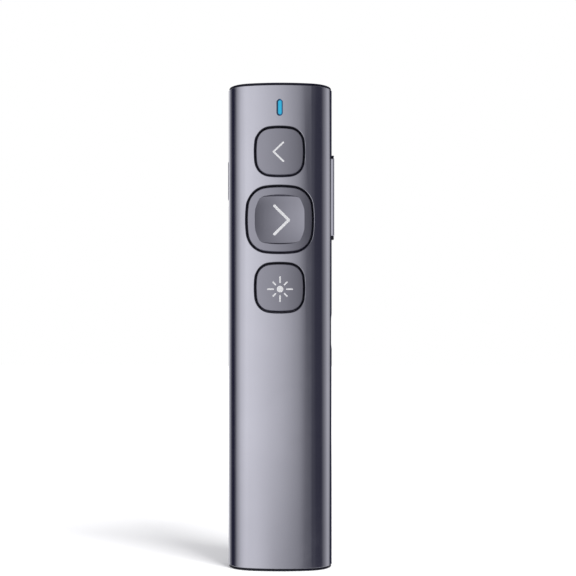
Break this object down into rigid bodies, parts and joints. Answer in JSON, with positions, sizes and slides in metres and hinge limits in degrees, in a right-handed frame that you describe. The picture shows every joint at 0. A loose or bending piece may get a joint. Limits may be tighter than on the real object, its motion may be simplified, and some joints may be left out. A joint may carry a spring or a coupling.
{
  "type": "wireless presentation clicker",
  "caption": "Slim metal presentation remote with soft-square front keys, a side volume rocker, a power slider, a laser window in its nose and a stowed USB receiver.",
  "frame": {"origin": "centre of the flat tail face that it stands on", "axes": "+Z along the body towards the laser end, -Y out of the front with the keys, +X towards the side with the volume rocker and the charging socket"},
  "size_m": [0.0284, 0.017, 0.1282],
  "materials": {
    "tube_metal": "bead-blasted and anodised grey, satin",
    "black_plastic": "fine moulded matte",
    "key_metal": "satin anodised grey, a little darker than the body",
    "pad_rubber": "soft matte",
    "dark_glass": "tinted, polished",
    "indicator_blue": "lit light pipe",
    "board_green": "solder mask",
    "chip_black": "moulded epoxy",
    "switch_black": "moulded",
    "plunger_plastic": "moulded",
    "steel": "bright",
    "screw_steel": "blackened",
    "contact_gold": "plated",
    "laser_brass": "turned",
    "lens_clear": "clear",
    "battery_pouch": "silvery laminate",
    "tape_white": "adhesive tape",
    "foam_grey": "foam",
    "lead_red": "insulation",
    "legend_print": "pad-printed ink",
    "connector_white": "nylon",
    "magnet_nickel": "nickel plated",
    "receiver_plastic": "fine moulded matte"
  },
  "bodies": {
    "handset": {"body_tube": "tube_metal", "nose_cap": "black_plastic", "tail_cap": "black_plastic", "tail_pad": "pad_rubber", "laser_window": "dark_glass", "tail_screws": "screw_steel", "key_frame": "black_plastic", "chassis": "black_plastic", "prev_switch": "switch_black", "next_switch": "switch_black", "laser_switch": "switch_black", "indicator_bezel": "black_plastic", "indicator_lens": "indicator_blue", "indicator_light": "tape_white", "key_board": "board_green", "main_board": "board_green", "laser_driver": "board_green", "key_board_screws": "screw_steel", "main_board_screws": "screw_steel", "rocker_bezel": "black_plastic", "rocker_pin": "steel", "volume_up_switch": "switch_black", "volume_down_switch": "switch_black", "power_guide": "black_plastic", "power_switch": "steel", "socket_shell": "steel", "socket_tongue": "switch_black", "socket_contacts": "contact_gold", "receiver_bay": "black_plastic", "bay_magnet": "magnet_nickel", "laser_barrel": "laser_brass", "laser_lens": "lens_clear", "laser_diode": "steel", "radio_chip": "chip_black", "charger_chip": "chip_black", "clock_crystal": "steel", "chip_antenna": "connector_white", "battery_connector": "connector_white", "board_header": "switch_black", "battery": "battery_pouch", "battery_tape": "tape_white", "battery_foam": "foam_grey", "battery_leads": "lead_red", "laser_leads": "lead_red"},
    "prev_button": {"prev_key": "key_metal", "prev_plunger": "plunger_plastic"},
    "next_button": {"next_key": "key_metal", "next_plunger": "plunger_plastic"},
    "laser_button": {"laser_key": "key_metal", "laser_plunger": "plunger_plastic"},
    "rocker": {"volume_rocker": "tube_metal"},
    "up_plunger": {"volume_up_plunger": "plunger_plastic"},
    "down_plunger": {"volume_down_plunger": "plunger_plastic"},
    "power_slider": {"power_knob": "key_metal", "power_lever": "plunger_plastic"},
    "usb_receiver": {"receiver_head": "receiver_plastic", "receiver_shell": "steel", "receiver_board": "board_green", "receiver_tongue": "switch_black", "receiver_contacts": "contact_gold"}
  },
  "joints": [
    {"name": "prev_press", "type": "slide", "parent": "handset", "child": "prev_button", "axis": [0, 1, 0], "range_m": [0, 0.0004], "stiffness_N_per_m": 1500, "springref_m": -0.0006},
    {"name": "next_press", "type": "slide", "parent": "handset", "child": "next_button", "axis": [0, 1, 0], "range_m": [0, 0.0004], "stiffness_N_per_m": 1500, "springref_m": -0.0006},
    {"name": "laser_press", "type": "slide", "parent": "handset", "child": "laser_button", "axis": [0, 1, 0], "range_m": [0, 0.0004], "stiffness_N_per_m": 1500, "springref_m": -0.0006},
    {"name": "rocker_pivot", "type": "hinge", "parent": "handset", "child": "rocker", "pos_m": [0.01275, 0, 0.0989], "axis": [0, -1, 0], "range_deg": [-1.8, 1.8], "stiffness_Nm_per_rad": 0.25},
    {"name": "volume_up_press", "type": "slide", "parent": "handset", "child": "up_plunger", "axis": [-1, 0, 0], "range_m": [-0.00024, 0.00024]},
    {"name": "volume_down_press", "type": "slide", "parent": "handset", "child": "down_plunger", "axis": [-1, 0, 0], "range_m": [-0.00024, 0.00024]},
    {"name": "power_slide", "type": "slide", "parent": "handset", "child": "power_slider", "axis": [0, 0, -1], "range_m": [0, 0.002]},
    {"name": "receiver_lift", "type": "slide", "parent": "handset", "child": "usb_receiver", "axis": [0, 1, 0], "range_m": [0, 0.012]}
  ],
  "couplings": [
    {"joint": "volume_up_press", "follows": "rocker_pivot", "m_per_rad": 0.007},
    {"joint": "volume_down_press", "follows": "rocker_pivot", "m_per_rad": -0.007}
  ]
}
